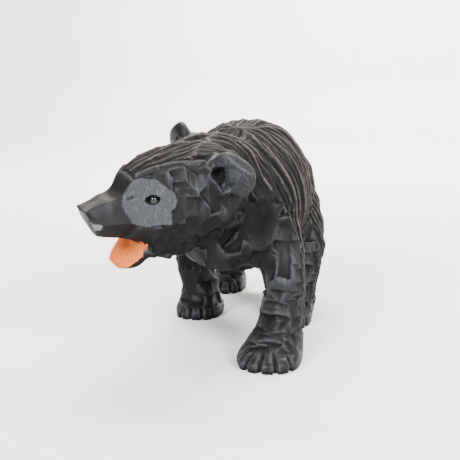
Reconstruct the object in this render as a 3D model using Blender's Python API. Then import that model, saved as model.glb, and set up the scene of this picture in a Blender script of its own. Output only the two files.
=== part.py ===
"""A walking bear carved from one block of wood, its head turned to its right, with two glass bead eyes.

The bear stands on +Z, faces -Y and has its left side on +X. The origin is under the middle of its box.
The figure's form is written in hundredths of its own height, so HEIGHT sets its size.
"""

import math

import bmesh
import bpy
import numpy as np
from mathutils import Matrix, Vector
from mathutils.kdtree import KDTree

# Driving dimensions, in metres
HEIGHT = 0.100
BEAD_DIAMETER = 0.0036
BEAD_CLEARANCE = 0.0003
BEAD_SHOWS = 0.0012

# How finely the block is worked, in hundredths of the height
VOXEL = 0.9
RING_POINTS = 32
RING_SPACING = 2.5
SMOOTHINGS = 8
SMOOTHING_SHARE = 0.5
EDGE_EASE = 0.35
SOLE_EDGE = 0.5
FACES_LEFT = 8800
BEAD_SEGMENTS = 16

# Torso: y, middle x, middle z, half width, half height, squareness
TORSO = (
    (-59, 3, 53, 8, 8, 2.0),
    (-56, 3, 54, 18, 16, 2.0),
    (-48, 2, 56, 25.5, 22, 2.1),
    (-38, 1, 60, 30, 28, 2.1),
    (-24, 1, 62.8, 32, 32.4, 2.05),
    (-8, 0, 65, 32.5, 35, 2.0),
    (8, -0.5, 65, 31.5, 35.3, 2.0),
    (26, -1.5, 63, 31, 34, 2.0),
    (44, -2.5, 60, 30, 32.5, 2.0),
    (58, -3.5, 57.5, 28, 29.5, 2.0),
    (68, -3.5, 56, 23.5, 25, 2.0),
    (75, -3.5, 56, 16, 18, 2.0),
    (79, -3.5, 57, 7, 8, 2.0),
)

# Neck: x, y, z of the middle, half width, half height, squareness
NECK = (
    (0, -28, 67, 24, 25, 2.0),
    (-4, -41, 68, 24, 26, 2.0),
    (-8, -53, 68, 21.5, 25.3, 2.0),
    (-9, -64, 65, 18, 21.5, 2.0),
)

# Each leg, from the shoulder or hip down: x, y, z, half width, half length, squareness
LEFT_FORELEG = (
    (19, -30, 64, 11, 15, 2.0),
    (22, -37, 50, 11, 14, 2.1),
    (25.5, -42, 37, 10.5, 11, 2.2),
    (27, -46, 26, 9.9, 9.2, 2.3),
    (26.7, -50, 16, 9.9, 9, 2.3),
    (25.2, -55, 8.5, 11.7, 13, 2.3),
    (24.2, -60, 3.5, 13.3, 16, 2.4),
    (24.2, -60, 0, 12.7, 15.5, 2.4),
)
RIGHT_FORELEG = (
    (-19, -22, 64, 11, 15, 2.0),
    (-22, -13, 50, 11.5, 14, 2.1),
    (-25.5, -5, 37, 10.5, 11, 2.2),
    (-27, 1, 26, 9.8, 9, 2.3),
    (-26, 5, 16, 9.6, 9, 2.3),
    (-26, 6, 8.5, 10.6, 12.5, 2.3),
    (-26, 5, 3.5, 11.8, 15, 2.4),
    (-26, 5, 0, 11.2, 14.5, 2.4),
)
LEFT_HIND_LEG = (
    (16, 40, 60, 13, 22, 2.0),
    (20, 36, 46, 12.8, 21, 2.1),
    (23.5, 28, 34, 12, 16, 2.2),
    (25, 18, 24, 10.6, 10.8, 2.3),
    (24.5, 11, 15, 9.6, 9.2, 2.3),
    (23.5, 6, 8, 9.6, 13, 2.3),
    (22, 2, 3.5, 10.2, 16.5, 2.4),
    (22, 2, 0, 9.7, 16, 2.4),
)
RIGHT_HIND_LEG = (
    (-19, 48, 60, 13, 22, 2.0),
    (-22, 51, 46, 12.5, 20, 2.1),
    (-24, 56, 34, 10.5, 15, 2.2),
    (-25.5, 62, 24, 9, 10, 2.3),
    (-26.5, 66, 15, 8.2, 9, 2.3),
    (-26.5, 65, 8, 9.3, 12.5, 2.3),
    (-26.5, 62, 3.5, 10.2, 15.5, 2.4),
    (-26.5, 62, 0, 9.7, 15, 2.4),
)
LEGS = (LEFT_FORELEG, RIGHT_FORELEG, LEFT_HIND_LEG, RIGHT_HIND_LEG)

# Head: its middle, and how far it turns, nods and leans, in degrees
HEAD_MIDDLE = (-9, -68, 69)
HEAD_TURN = 41
HEAD_NOD = 5
HEAD_LEAN = 14

# Skull and upper jaw: forward, side, up, half width, half height, squareness
SKULL = (
    (-24, 0, 1, 12, 14, 2.1),
    (-16, 0, 1.5, 17, 18, 2.1),
    (-6, 0, 2, 20.5, 19.2, 2.1),
    (7, 0, 1.3, 20, 19.2, 2.1),
    (17, 0, 1, 17, 17, 2.2),
    (23, 0, 0.4, 14.5, 14.8, 2.3),
    (27, 0, -0.8, 12, 12.6, 2.3),
    (30, 0, -2.6, 10.2, 10, 2.4),
    (34, 0, -3.2, 8.6, 8.6, 2.5),
    (40, 0, -3.6, 6.8, 6.4, 2.5),
    (45, 0, -3, 5.2, 4.8, 2.5),
    (46.5, 0, -2.6, 4, 3.6, 2.4),
)

# Lower jaw, in the same way
JAW = (
    (-4, 0, -15, 11, 9, 2.4),
    (4, 0, -16, 11, 9, 2.4),
    (13, 0, -17, 10.2, 7.4, 2.6),
    (20, 0, -16, 10.4, 5.4, 2.8),
    (24, 0, -19.1, 9.6, 5.2, 3.0),
    (28, 0, -21.6, 7.8, 3.3, 3.0),
    (31.5, 0, -23, 5.4, 1.5, 2.6),
)

# Ears: where they stand on the skull, and rise along them, half width, half thickness
EAR_ROOT = (-9, 15.5, 10)
LEFT_EAR_DROP = 1.6
# Which way each ear's open face looks: forward and left in the head's frame. The right ear is turned ahead
LEFT_EAR_FACE = (0.75, 0.65)
RIGHT_EAR_FACE = (0.97, -0.2)
EAR = (
    (-4, 8, 3.8),
    (0, 9, 3.8),
    (5, 9.5, 3.6),
    (9.5, 8.9, 3.2),
    (13, 6.8, 2.6),
    (14.6, 4.4, 1.8),
)
EAR_HOLLOW_RISE = 6.5
EAR_HOLLOW = (7.4, 6.2, 2.6)

# Knife planes on the head, which cut both sides alike. Each has the middle and outward direction of
# the flat in the head's frame, how far it reaches from that middle, and how deep it may cut
KNIFE_PLANES = (
    ((20, 13.2, -0.1), (0.50, 0.84, 0.20), 15, 4),
    ((36, 5.5, 2), (0.23, 0.90, 0.36), 15, 3),
    ((37, 6.6, -5.6), (0.15, 0.76, -0.63), 12, 3),
    ((21, 12.2, -9), (0.45, 0.70, -0.55), 10, 3),
    ((38, 0, 3), (0.31, 0, 0.95), 11, 3),
    ((42.3, 0, -3), (0.91, 0, -0.42), 14, 6),
    ((30, 0, -20.6), (0.71, 0, 0.71), 9, 1.5),
)
KNIFE_FADE = 4

# Eye beads: where their middles meet the flat round the eye, in the head's frame
EYE = (20.6, 11.7, 4.7)
EYE_FLAT = KNIFE_PLANES[0][1]

# Gouge strokes: half length, half width, depth
LOCK_OF_FUR = (13, 3.3, 1.15)
CHEEK_FACET = (7.5, 4.2, 1.3)
LEG_FACET = (4.8, 4.4, 1.2)
STROKE_SPACING = 0.8
STROKE_ENTRY = 0.6
LEAST_FACING = 0.35
MOST_END_ON = 0.95
SHOULDER_SCOOP = (12, 8, 1.6)
SHOULDER_SCOOP_AT = (27, -50, 52)
CARVING_SEED = 5

# How steeply the fur runs down the flank, as heights and degrees below level
FUR_HEIGHTS = (15, 40, 60, 80, 100)
FUR_SLOPES = (88, 72, 50, 26, 4)
FLANK_STEEPENS = 1.6
CHEEK_SLOPE = 38
THROAT_SLOPE = 80

# Where each kind of stroke is used. The head's are in its own frame, the others in the bear's
NAPE = -26
NAPE_BLEND = (-30, 25)
HEAD_ABOVE = 38
HEAD_BEFORE = -30
MUZZLE_FROM = 27
EYE_FLAT_FROM = 20
CROWN_FACES_UP = 0.45
THROAT_FACES_DOWN = 0.4
BELLY_FACES_DOWN = 0.5
CHEST_FACES_AHEAD = 0.5
RUMP_FACES_BACK = 0.3
FLANK_FACES_OUT = 0.4
FUR_ABOVE = 44
PLAIN_BELOW = 10

# Toes: the notches between them, in degrees from straight ahead, and their half width, depth and top
TOE_NOTCHES = (-46, -16, 16, 46)
TOE_NOTCH = (1.5, 1.7)
TOE_HEIGHT = 8
TOE_FADE = 2
TOE_REACH = (0.55, 0.85, 1.4)

BLACK_STAIN = (0.012, 0.012, 0.013, 1)
BLACK_GLASS = (0.004, 0.004, 0.005, 1)
WOOD_ROUGHNESS = 0.6
GLASS_ROUGHNESS = 0.08

def clear_scene():
    for obj in list(bpy.data.objects):
        bpy.data.objects.remove(obj, do_unlink=True)

def head_axes():
    """Forward, left and up of the head as unit vectors."""
    turn, nod, lean = (math.radians(a) for a in (HEAD_TURN, HEAD_NOD, HEAD_LEAN))
    forward = Vector((-math.sin(turn) * math.cos(nod), -math.cos(turn) * math.cos(nod), -math.sin(nod)))
    level_left = Vector((math.cos(turn), -math.sin(turn), 0))
    level_up = forward.cross(level_left)
    left = level_left * math.cos(lean) - level_up * math.sin(lean)
    up = level_up * math.cos(lean) + level_left * math.sin(lean)
    return forward, left, up

FORWARD, LEFT, UP = head_axes()

def head_direction(forward, left, up):
    return FORWARD * forward + LEFT * left + UP * up

def in_head(forward, left, up):
    """A point of the head's own frame, as a point of the bear."""
    return Vector(HEAD_MIDDLE) + head_direction(forward, left, up)

def eased(stations, middles=3):
    """The stations with others between them, on a smooth curve through all of them."""
    rows = np.array(stations, float)
    padded = np.vstack([2 * rows[0] - rows[1], rows, 2 * rows[-1] - rows[-2]])
    found = []
    for a, b, c, d in zip(padded, padded[1:], padded[2:], padded[3:]):
        gap = np.linalg.norm((c - b)[:middles])
        steps = max(1, round(gap / RING_SPACING))
        for step in range(steps):
            t = step / steps
            curve = 2 * b + (c - a) * t + (2 * a - 5 * b + 4 * c - d) * t**2 + (3 * b - a - 3 * c + d) * t**3
            found.append(curve / 2)
    return [*found, rows[-1]]

def ring(middle, side, rise, half_width, half_height, squareness):
    """A closed oval of points. Squareness 2 is an ellipse, and more is boxier."""
    points = []
    for i in range(RING_POINTS):
        angle = 2 * math.pi * i / RING_POINTS
        across = math.copysign(abs(math.cos(angle)) ** (2 / squareness), math.cos(angle))
        height = math.copysign(abs(math.sin(angle)) ** (2 / squareness), math.sin(angle))
        points.append(middle + side * (half_width * across) + rise * (half_height * height))
    return points

def skin(bm, rings):
    """A closed tube through the rings."""
    loops = [[bm.verts.new(p) for p in points] for points in rings]
    for lower, upper in zip(loops, loops[1:]):
        for i in range(RING_POINTS):
            j = (i + 1) % RING_POINTS
            bm.faces.new((lower[i], lower[j], upper[j], upper[i]))
    bm.faces.new(loops[0][::-1])
    bm.faces.new(loops[-1])

def torso(bm):
    x, z = Vector((1, 0, 0)), Vector((0, 0, 1))
    skin(bm, [ring(Vector((s[1], s[0], s[2])), x, z, *s[3:]) for s in eased(TORSO)])

def neck(bm):
    stations = eased(NECK)
    points = [Vector(s[:3]) for s in stations]
    rings = []
    for i, station in enumerate(stations):
        along = (points[min(i + 1, len(points) - 1)] - points[max(i - 1, 0)]).normalized()
        side = along.cross(Vector((0, 0, 1))).normalized()
        rings.append(ring(points[i], side, side.cross(along), *station[3:]))
    skin(bm, rings)

def leg(bm, stations):
    x, y = Vector((1, 0, 0)), Vector((0, 1, 0))
    skin(bm, [ring(Vector(s[:3]), x, y, *s[3:]) for s in eased(stations)])

def along_head(bm, stations):
    skin(bm, [ring(in_head(*s[:3]), LEFT, UP, *s[3:]) for s in eased(stations)])

def ear_axes(side):
    """Out along the ear, out of its open face, and across it."""
    out = head_direction(0, side * 0.62, 0.78).normalized()
    face = head_direction(*(LEFT_EAR_FACE if side > 0 else RIGHT_EAR_FACE), 0)
    face = (face - out * face.dot(out)).normalized()
    return out, face, out.cross(face)

def ear_root(side):
    drop = LEFT_EAR_DROP if side > 0 else 0
    return in_head(EAR_ROOT[0], side * EAR_ROOT[1], EAR_ROOT[2] - drop)

def ears(bm):
    for side in (1, -1):
        out, face, across = ear_axes(side)
        root = ear_root(side)
        skin(bm, [ring(root + out * rise, across, face, wide, thick, 2.2) for rise, wide, thick in eased(EAR, 1)])

def mesh_object(name, bm):
    bmesh.ops.recalc_face_normals(bm, faces=bm.faces)
    mesh = bpy.data.meshes.new(name)
    bm.to_mesh(mesh)
    bm.free()
    obj = bpy.data.objects.new(name, mesh)
    bpy.context.scene.collection.objects.link(obj)
    return obj

def settle(obj):
    """Applies the object's modifiers to its mesh."""
    graph = bpy.context.evaluated_depsgraph_get()
    mesh = bpy.data.meshes.new_from_object(obj.evaluated_get(graph))
    obj.modifiers.clear()
    obj.data = mesh

def rough_form():
    bm = bmesh.new()
    torso(bm)
    neck(bm)
    for stations in LEGS:
        leg(bm, stations)
    along_head(bm, SKULL)
    along_head(bm, JAW)
    ears(bm)
    obj = mesh_object("carved_bear", bm)
    fuse = obj.modifiers.new("fuse", "REMESH")
    fuse.mode = "VOXEL"
    fuse.voxel_size = VOXEL
    blend = obj.modifiers.new("blend", "SMOOTH")
    blend.factor = SMOOTHING_SHARE
    blend.iterations = SMOOTHINGS
    settle(obj)
    return obj

def surface(mesh):
    """The points and outward directions of a mesh, as rows."""
    points, normals = np.empty(len(mesh.vertices) * 3), np.empty(len(mesh.vertices) * 3)
    mesh.vertices.foreach_get("co", points)
    mesh.vertex_normals.foreach_get("vector", normals)
    return points.reshape(-1, 3), normals.reshape(-1, 3)

def put_back(mesh, points):
    mesh.vertices.foreach_set("co", points.ravel())
    mesh.update()

def knife_planes(points):
    """Flattens what stands proud of each knife plane."""
    for middle, direction, reach, deepest in KNIFE_PLANES:
        sides = (1, -1) if direction[1] else (1,)
        for side in sides:
            at = np.array(in_head(middle[0], side * middle[1], middle[2]))
            out = np.array(head_direction(direction[0], side * direction[1], direction[2]).normalized())
            offset = points - at
            proud = offset @ out
            fade = np.clip((reach - np.linalg.norm(offset, axis=1)) / KNIFE_FADE, 0, 1)
            cut = np.where((proud > 0) & (proud < deepest), proud * fade, 0)
            points -= cut[:, None] * out

def fur_direction(point, normal):
    """Back along the bear and down its flank."""
    steep = math.radians(np.interp(point.z, FUR_HEIGHTS, FUR_SLOPES))
    steep *= min(1, FLANK_STEEPENS * (1 - abs(normal.z)))
    back = Vector((0, math.cos(steep), -math.sin(steep)))
    start, length = NAPE_BLEND
    on_head = min(1, max(0, ((point - Vector(HEAD_MIDDLE)).dot(FORWARD) - start) / length))
    return back.lerp(-FORWARD, on_head)

def stroke_at(point, normal):
    """The gouge that works this place and the way it runs, or nothing where the knife alone works."""
    offset = point - Vector(HEAD_MIDDLE)
    ahead = offset.dot(FORWARD)
    if ahead > NAPE and point.z > HEAD_ABOVE and point.y < HEAD_BEFORE:
        flat = EYE_FLAT[0], math.copysign(EYE_FLAT[1], offset.dot(LEFT)), EYE_FLAT[2]
        if ahead > MUZZLE_FROM or offset.dot(head_direction(*flat)) > EYE_FLAT_FROM:
            return None
        if normal.dot(UP) > CROWN_FACES_UP:
            return LOCK_OF_FUR, fur_direction(point, normal)
        slope = math.radians(THROAT_SLOPE if normal.dot(UP) < -THROAT_FACES_DOWN else CHEEK_SLOPE)
        return CHEEK_FACET, head_direction(-math.cos(slope), 0, -math.sin(slope))
    if point.z < PLAIN_BELOW:
        return None
    if normal.z < -BELLY_FACES_DOWN:
        return LOCK_OF_FUR, Vector((0, 1, 0))
    if normal.y < -CHEST_FACES_AHEAD:
        return LEG_FACET, Vector((0, 0, -1))
    faces_out = normal.x * math.copysign(1, point.x)
    if point.z > FUR_ABOVE or normal.y > RUMP_FACES_BACK or faces_out > FLANK_FACES_OUT:
        return LOCK_OF_FUR, fur_direction(point, normal)
    return LEG_FACET, Vector((0, 0, -1))

def stroke_depths(size, centre, along, out, points, normals):
    """How deep one stroke cuts at each point, and which points lie near its middle."""
    half_length, half_width, deepest = size
    across = np.cross(out, along)
    offset = points - centre
    run = offset @ along / half_length
    drift = offset @ across / half_width
    facing = normals @ out > LEAST_FACING
    inside = (abs(run) < 1) & (abs(drift) < 1) & facing
    entry = np.clip((run + 1) / 2, 0, 1) ** STROKE_ENTRY
    depth = np.where(inside, deepest * (1 - drift**2) * entry, 0)
    near = facing & ((run / STROKE_SPACING) ** 2 + (drift / STROKE_SPACING) ** 2 < 1)
    return depth, near

def gouge(points, normals):
    """How deep all the gouge strokes cut at each point. They overlap, as shingles do."""
    tree = KDTree(len(points))
    for i, point in enumerate(points):
        tree.insert(point, i)
    tree.balance()
    depth = np.zeros(len(points))
    worked = np.zeros(len(points), bool)

    def work(size, centre, along, out):
        found = np.array([i for _, i, _ in tree.find_range(centre, max(size[:2]))])
        out = np.array(out)
        along = np.array(along) - out * np.dot(along, out)
        along /= np.linalg.norm(along)
        cut, near = stroke_depths(size, np.array(centre), along, out, points[found], normals[found])
        depth[found] = np.maximum(depth[found], cut)
        worked[found[near]] = True

    for i in np.random.default_rng(CARVING_SEED).permutation(len(points)):
        if worked[i]:
            continue
        worked[i] = True
        centre, out = Vector(points[i]), Vector(normals[i])
        stroke = stroke_at(centre, out)
        if stroke and abs(stroke[1].normalized().dot(out)) < MOST_END_ON:
            work(stroke[0], centre, stroke[1], out)
    for side in (1, -1):
        out, face, _ = ear_axes(side)
        work(EAR_HOLLOW, ear_root(side) + out * EAR_HOLLOW_RISE + face * EAR[2][2], -out, face)
    _, i, _ = tree.find(SHOULDER_SCOOP_AT)
    work(SHOULDER_SCOOP, Vector(points[i]), Vector((0, 0, -1)), Vector(normals[i]))
    return depth

def toe_notches(points):
    """How deep the notches between the toes cut at each point."""
    half_width, deepest = TOE_NOTCH
    starts, full, ends = TOE_REACH
    depth = np.zeros(len(points))
    for stations in LEGS:
        x, y, _, wide, long, _ = stations[-1]
        offset = points - (x, y, 0)
        reach = np.hypot(offset[:, 0] / wide, offset[:, 1] / long)
        for angle in TOE_NOTCHES:
            turn = math.radians(angle)
            ahead = offset[:, 0] * math.sin(turn) - offset[:, 1] * math.cos(turn)
            aside = abs(offset[:, 0] * math.cos(turn) + offset[:, 1] * math.sin(turn))
            low = np.clip((TOE_HEIGHT - points[:, 2]) / TOE_FADE, 0, 1)
            at_edge = np.clip((reach - starts) / (full - starts), 0, 1) * (ahead > 0) * (reach < ends)
            depth = np.maximum(depth, deepest * np.clip(1 - aside / half_width, 0, 1) * low * at_edge)
    return depth

def level_soles(mesh):
    """Sets the soles of the feet flat on the ground."""
    points, _ = surface(mesh)
    points[:, 2] = np.where(points[:, 2] < SOLE_EDGE, 0, points[:, 2])
    put_back(mesh, points)

def carve(obj):
    points, normals = surface(obj.data)
    knife_planes(points)
    put_back(obj.data, points)
    points, normals = surface(obj.data)
    depth = np.maximum(gouge(points, normals), toe_notches(points))
    put_back(obj.data, points - normals * depth[:, None])
    ease = obj.modifiers.new("ease", "SMOOTH")
    ease.factor = EDGE_EASE
    ease.iterations = 1
    settle(obj)
    level_soles(obj.data)
    thin = obj.modifiers.new("thin", "DECIMATE")
    thin.ratio = FACES_LEFT / sum(len(face.vertices) - 2 for face in obj.data.polygons)
    settle(obj)
    level_soles(obj.data)

def sphere(name, middle, radius):
    bm = bmesh.new()
    bmesh.ops.create_uvsphere(bm, u_segments=BEAD_SEGMENTS, v_segments=BEAD_SEGMENTS // 2, radius=radius)
    bmesh.ops.translate(bm, verts=bm.verts, vec=middle)
    return mesh_object(name, bm)

def bead_and_socket(bear, name, side):
    """Sets a glass bead in a socket cut for it, both in hundredths."""
    unit = HEIGHT / 100
    radius = BEAD_DIAMETER / 2 / unit
    out = head_direction(EYE_FLAT[0], side * EYE_FLAT[1], EYE_FLAT[2]).normalized()
    middle = in_head(EYE[0], side * EYE[1], EYE[2]) + out * (BEAD_SHOWS / unit - radius)
    socket = sphere(name + "_socket", middle, radius + BEAD_CLEARANCE / unit)
    cut = bear.modifiers.new(name, "BOOLEAN")
    cut.operation = "DIFFERENCE"
    cut.solver = "EXACT"
    cut.object = socket
    settle(bear)
    bpy.data.objects.remove(socket, do_unlink=True)
    return sphere(name, middle, radius)

def paint(obj, name, colour, roughness):
    material = bpy.data.materials.new(name)
    material.use_nodes = True
    shader = material.node_tree.nodes["Principled BSDF"]
    shader.inputs["Base Color"].default_value = colour
    shader.inputs["Roughness"].default_value = roughness
    obj.data.materials.clear()
    obj.data.materials.append(material)

def main():
    clear_scene()
    bear = rough_form()
    carve(bear)
    beads = [bead_and_socket(bear, "left_eye_bead", 1), bead_and_socket(bear, "right_eye_bead", -1)]
    points, _ = surface(bear.data)
    lowest, highest = points.min(axis=0), points.max(axis=0)
    middle = (lowest + highest) / 2
    place = Matrix.Scale(HEIGHT / 100, 4) @ Matrix.Translation((-middle[0], -middle[1], -lowest[2]))
    for obj in (bear, *beads):
        obj.data.transform(place)
    paint(bear, "black_stained_wood", BLACK_STAIN, WOOD_ROUGHNESS)
    for bead in beads:
        paint(bead, bead.name + "_glass", BLACK_GLASS, GLASS_ROUGHNESS)

main()
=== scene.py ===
"""The looks of a walking bear carved from one block of wood and stained black, with two glass bead eyes.

The form and the carving are worked in hundredths of the bear's height, which are millimetres here, in
the bear's own frame: up is +Z, it faces -Y and its left is +X. The head has a frame of its own, given as
forward, left and up. The carved bear is then moved to where its solid stands.
"""

import math

import bmesh
import bpy
import numpy as np
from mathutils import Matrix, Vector
from mathutils.kdtree import KDTree


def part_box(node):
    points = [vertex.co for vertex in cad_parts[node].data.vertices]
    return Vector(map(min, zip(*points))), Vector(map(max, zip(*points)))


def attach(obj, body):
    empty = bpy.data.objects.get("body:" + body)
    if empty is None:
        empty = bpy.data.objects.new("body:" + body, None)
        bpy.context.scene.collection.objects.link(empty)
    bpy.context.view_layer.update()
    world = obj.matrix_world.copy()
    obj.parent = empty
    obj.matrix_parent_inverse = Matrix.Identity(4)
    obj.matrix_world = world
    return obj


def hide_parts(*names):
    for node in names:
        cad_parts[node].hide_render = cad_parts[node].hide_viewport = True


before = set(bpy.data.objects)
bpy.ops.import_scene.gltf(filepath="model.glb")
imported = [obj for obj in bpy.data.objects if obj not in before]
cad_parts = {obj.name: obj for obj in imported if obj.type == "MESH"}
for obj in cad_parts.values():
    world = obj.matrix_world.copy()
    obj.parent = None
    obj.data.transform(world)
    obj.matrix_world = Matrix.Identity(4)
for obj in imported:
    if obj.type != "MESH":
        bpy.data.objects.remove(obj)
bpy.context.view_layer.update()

bl_info = {
    "name": "Carved bear",
    "version": (1, 0, 0),
    "blender": (4, 5, 0),
    "location": "View3D > Sidebar > Carved bear",
    "description": "A walking bear carved from black stained wood",
    "category": "Object",
}

MILLIMETRE = 0.001

# Torso: y, middle x, middle z, half width, half height, squareness
TORSO = (
    (-59, 3, 53, 8, 8, 2.0), (-56, 3, 54, 18, 16, 2.0), (-48, 2, 56, 25.5, 22, 2.1),
    (-38, 1, 60, 30, 28, 2.1), (-24, 1, 62.8, 32, 32.4, 2.05), (-8, 0, 65, 32.5, 35, 2.0),
    (8, -0.5, 65, 31.5, 35.3, 2.0),
    (26, -1.5, 63, 31, 34, 2.0), (44, -2.5, 60, 30, 32.5, 2.0), (58, -3.5, 57.5, 28, 29.5, 2.0),
    (68, -3.5, 56, 23.5, 25, 2.0), (75, -3.5, 56, 16, 18, 2.0), (79, -3.5, 57, 7, 8, 2.0),
)

# Neck: x, y, z of the middle, half width, half height, squareness
NECK = (
    (0, -28, 67, 24, 25, 2.0), (-4, -41, 68, 24, 26, 2.0), (-8, -53, 68, 21.5, 25.3, 2.0),
    (-9, -64, 65, 18, 21.5, 2.0),
)

# Each leg, from the shoulder or hip down: x, y, z, half width, half length, squareness
LEFT_FORELEG = (
    (19, -30, 64, 11, 15, 2.0), (22, -37, 50, 11, 14, 2.1), (25.5, -42, 37, 10.5, 11, 2.2),
    (27, -46, 26, 9.9, 9.2, 2.3), (26.7, -50, 16, 9.9, 9, 2.3), (25.2, -55, 8.5, 11.7, 13, 2.3),
    (24.2, -60, 3.5, 13.3, 16, 2.4), (24.2, -60, 0, 12.7, 15.5, 2.4),
)
RIGHT_FORELEG = (
    (-19, -22, 64, 11, 15, 2.0), (-22, -13, 50, 11.5, 14, 2.1), (-25.5, -5, 37, 10.5, 11, 2.2),
    (-27, 1, 26, 9.8, 9, 2.3), (-26, 5, 16, 9.6, 9, 2.3), (-26, 6, 8.5, 10.6, 12.5, 2.3),
    (-26, 5, 3.5, 11.8, 15, 2.4), (-26, 5, 0, 11.2, 14.5, 2.4),
)
LEFT_HIND_LEG = (
    (16, 40, 60, 13, 22, 2.0), (20, 36, 46, 12.8, 21, 2.1), (23.5, 28, 34, 12, 16, 2.2),
    (25, 18, 24, 10.6, 10.8, 2.3), (24.5, 11, 15, 9.6, 9.2, 2.3), (23.5, 6, 8, 9.6, 13, 2.3),
    (22, 2, 3.5, 10.2, 16.5, 2.4), (22, 2, 0, 9.7, 16, 2.4),
)
RIGHT_HIND_LEG = (
    (-19, 48, 60, 13, 22, 2.0), (-22, 51, 46, 12.5, 20, 2.1), (-24, 56, 34, 10.5, 15, 2.2),
    (-25.5, 62, 24, 9, 10, 2.3), (-26.5, 66, 15, 8.2, 9, 2.3), (-26.5, 65, 8, 9.3, 12.5, 2.3),
    (-26.5, 62, 3.5, 10.2, 15.5, 2.4), (-26.5, 62, 0, 9.7, 15, 2.4),
)
LEGS = (LEFT_FORELEG, RIGHT_FORELEG, LEFT_HIND_LEG, RIGHT_HIND_LEG)

# Head: its middle, and how far it turns, nods and leans, in degrees
HEAD_MIDDLE = (-9, -68, 69)
HEAD_TURN = 41
HEAD_NOD = 5
HEAD_LEAN = 14

# Skull and upper jaw: forward, side, up, half width, half height, squareness
SKULL = (
    (-24, 0, 1, 12, 14, 2.1), (-16, 0, 1.5, 17, 18, 2.1), (-6, 0, 2, 20.5, 19.2, 2.1),
    (7, 0, 1.3, 20, 19.2, 2.1), (17, 0, 1, 17, 17, 2.2), (23, 0, 0.4, 14.5, 14.8, 2.3),
    (27, 0, -0.8, 12, 12.6, 2.3), (30, 0, -2.6, 10.2, 10, 2.4), (34, 0, -3.2, 8.6, 8.6, 2.5),
    (40, 0, -3.6, 6.8, 6.4, 2.5), (45, 0, -3, 5.2, 4.8, 2.5), (46.5, 0, -2.6, 4, 3.6, 2.4),
)

# Lower jaw, in the same way
JAW = (
    (-4, 0, -15, 11, 9, 2.4), (4, 0, -16, 11, 9, 2.4), (13, 0, -17, 10.2, 7.4, 2.6),
    (20, 0, -16, 10.4, 5.4, 2.8), (24, 0, -19.1, 9.6, 5.2, 3.0), (28, 0, -21.6, 7.8, 3.3, 3.0),
    (31.5, 0, -23, 5.4, 1.5, 2.6),
)

# Ears: where they stand on the skull, and rise along them, half width, half thickness
EAR_ROOT = (-9, 15.5, 10)
LEFT_EAR_DROP = 1.6
# Which way each ear's open face looks: forward and left in the head's frame. The right ear is turned ahead
LEFT_EAR_FACE = (0.75, 0.65)
RIGHT_EAR_FACE = (0.97, -0.2)
EAR = (
    (-4, 8, 3.8), (0, 9, 3.8), (5, 9.5, 3.6), (9.5, 8.9, 3.2), (13, 6.8, 2.6), (14.6, 4.4, 1.8),
)

# Knife planes on the head, which cut both sides alike. Each has the middle and outward direction of
# the flat in the head's frame, how far it reaches from that middle, and how deep it may cut
EYE_PLANE = ((20, 13.2, -0.1), (0.50, 0.84, 0.20), 17, 4)
MUZZLE_PLANE = ((36, 5.5, 2), (0.23, 0.90, 0.36), 20, 3)
LIP_BEVEL = ((37, 6.6, -5.6), (0.15, 0.76, -0.63), 12, 3)
CHEEK_BEVEL = ((21, 12.2, -9), (0.45, 0.70, -0.55), 10, 3)
BRIDGE_PLANE = ((38, 0, 3), (0.31, 0, 0.95), 11, 3)
BROW_PLANE = ((28.2, 0, 9.6), (0.81, 0, 0.58), 9, 2)
NOSE_PLANE = ((42.3, 0, -3), (0.91, 0, -0.42), 14, 6)
MOUTH_PLANE = ((28, 0, -21.2), (0.71, 0, 0.71), 14, 3)
KNIFE_PLANES = (
    EYE_PLANE, MUZZLE_PLANE, LIP_BEVEL, CHEEK_BEVEL, BRIDGE_PLANE, BROW_PLANE, NOSE_PLANE, MOUTH_PLANE,
)
# Over how much of its reach a knife plane fades out
KNIFE_FADE = 1.5
# These two meet in a hollow crease before the eye, so each is cut only where it stands out from the other
HOLLOW_PAIR = (EYE_PLANE, MUZZLE_PLANE)

# The corner between the bridge of the nose and the brow, which is rubbed smooth: its middle and half
# sizes in the head's frame, and how often and how hard it is rubbed
SWEEP_MIDDLE = (31, 0, 6.5)
SWEEP_SIZE = (6.5, 10, 6)
SWEEP_STROKES = 30
SWEEP_SHARE = 0.7

# Outlines on the head as forward and up: the scraped flat round each eye, and the shallow chip cut on the
# lip, painted light grey as a highlight
EYE_FLAT = (
    (26.5, 11.5), (24.7, 12.2), (19.8, 12.1), (13.8, 7.3), (13.2, 4.5), (13.8, 2.3), (15.5, 0.9),
    (15.3, -4.4), (18, -4.2), (24, -5.3), (33, -3.2), (31, 3), (29.5, 6.5),
)
LIP_CHIP = ((42.4, -3.2), (38.8, -3.8), (38.6, -6.6), (43.0, -6.6))
CHIP_DEPTH = 0.3
# Where the coat stops over the brow, and where the knife alone works on the muzzle
BROW = 26.3
MUZZLE_FROM = 26.3
# How far from the middle of the head the coat of the crown reaches, at places from back to front
CROWN_EDGE = ((-14, -3, 5, 15.7, 26), (16, 13.2, 11.2, 8.3, 4.8))

# Eye beads: where their middles meet the flat round the eye, in the head's frame, and their size
EYE = (20.6, 11.7, 4.7)
BEAD_RADIUS = 1.8
BEAD_SHOWS = 1.2
# The socket round a bead: half length, half height and depth. The tear groove before it, in the head's frame
SOCKET = (3.1, 1.75, 1.3)
TEAR_GROOVE = ((25.4, 8, 5.8), (28.2, 6.6, 4.4), (30.4, 6.4, 3.2))

# The scoop in the open face of an ear, as ahead across the ear and out along it, from the slit's upper
# end round to its lower end, the slit's width, and how deep the scoop goes beside it
EAR_SCOOP = ((7.4, 5.4), (3.8, 9.2), (0.2, 12.0), (-2.6, 11.2), (-3.2, 7.0), (-2.6, 3.0), (-1.6, 0.3))
SLIT_WIDTH = ((0.3, 5.4, 9.0), (0.8, 2.4, 2.8))
EAR_DEEPEST = 2.4
SLIT_DEEPER = 1.4
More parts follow.
